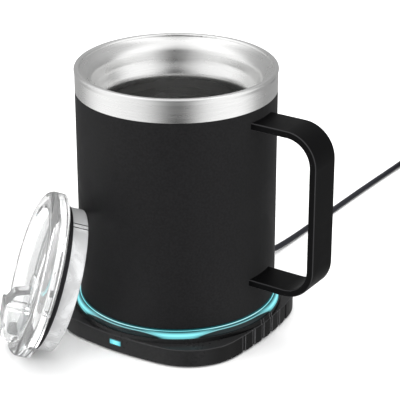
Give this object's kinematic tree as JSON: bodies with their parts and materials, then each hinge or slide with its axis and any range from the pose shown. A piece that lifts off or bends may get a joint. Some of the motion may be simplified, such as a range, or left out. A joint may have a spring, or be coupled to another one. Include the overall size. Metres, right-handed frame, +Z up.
{
  "type": "electric mug warmer",
  "caption": "Low square mug warmer with rounded corners, a lit ring round its hot plate and a USB lead, with an insulated handled mug on it and a clear sliding lid beside it.",
  "frame": {"origin": "centre of the non-slip pad's underside, on the table", "axes": "+Z up, -Y the front with the power button, +X the grooved side and the mug's handle, +Y where the lead leaves"},
  "size_m": [0.1337, 0.3361, 0.1191],
  "materials": {
    "black_plastic": "fine matt moulded black",
    "button_plastic": "translucent cyan, lit from behind",
    "light_guide": "frosted light guide, lit cyan",
    "insulation": "pressed mineral felt",
    "heating_aluminium": "black coated",
    "bare_aluminium": "mill finish",
    "zinc_steel": "zinc plated",
    "stainless": "brushed inside, satin band and lip",
    "mug_coating": "fine powder coat",
    "silicone_black": "matt silicone",
    "polyimide": "amber film",
    "circuit_board": "green solder mask",
    "component_black": "moulded packages",
    "lamp_white": "white lamp packages",
    "connector_white": "white nylon",
    "brass_pins": "gold flashed",
    "cord_black": "matt PVC jacket",
    "clear_plastic": "clear copolyester",
    "skirt_plastic": "pale silver grey, translucent",
    "silicone_clear": "translucent silicone",
    "usb_tongue": "white plastic"
  },
  "bodies": {
    "warmer_base": {"upper_housing": "black_plastic", "bottom_cover": "black_plastic", "non_slip_pad": "silicone_black", "case_screws": "zinc_steel", "heating_plate": "heating_aluminium", "film_heater": "polyimide", "insulation_disc": "insulation", "heater_backplate": "zinc_steel", "plate_screws": "zinc_steel", "plate_seal": "silicone_black", "light_ring": "light_guide", "temperature_sensor": "component_black", "thermal_fuse": "connector_white", "heater_leads": "connector_white", "sensor_leads": "connector_white", "lamp_board": "circuit_board", "ring_lamps": "lamp_white", "lamp_pins": "brass_pins", "control_board": "circuit_board", "board_chips": "component_black", "board_screws": "zinc_steel", "power_connector": "connector_white", "power_switch": "component_black", "strain_relief": "cord_black", "inner_lead": "cord_black", "cord_lead": "cord_black", "cord_coil": "cord_black", "cord_tail": "cord_black", "cord_tie": "silicone_black", "plug_overmould": "cord_black", "plug_shell": "zinc_steel", "plug_tongue": "usb_tongue"},
    "power_button": {"power_button": "button_plastic", "switch_plunger": "black_plastic"},
    "mug": {"mug_shell": "mug_coating", "mug_base_plate": "stainless", "heat_spreader": "bare_aluminium", "mug_liner": "stainless", "mug_handle": "black_plastic"},
    "lid": {"lid_body": "clear_plastic", "lid_skirt": "skirt_plastic", "lid_gasket": "silicone_black"},
    "lid_slider": {"lid_slider": "clear_plastic", "slider_retainer": "clear_plastic", "drink_seal": "silicone_clear"}
  },
  "joints": [
    {"name": "button_press", "type": "slide", "parent": "warmer_base", "child": "power_button", "axis": [0, 1, 0], "range_m": [0, 0.0005], "stiffness_N_per_m": 400},
    {"name": "mug_lift", "type": "slide", "parent": "warmer_base", "child": "mug", "axis": [0, 0, 1], "range_m": [0, 0.12]},
    {"name": "lid_lift", "type": "slide", "parent": "warmer_base", "child": "lid", "axis": [-0.6919, -0.6452, 0.3239], "range_m": [0, 0.06]},
    {"name": "slider_slide", "type": "slide", "parent": "lid", "child": "lid_slider", "axis": [0.2369, 0.2209, 0.9461], "range_m": [0, 0.015]}
  ]
}
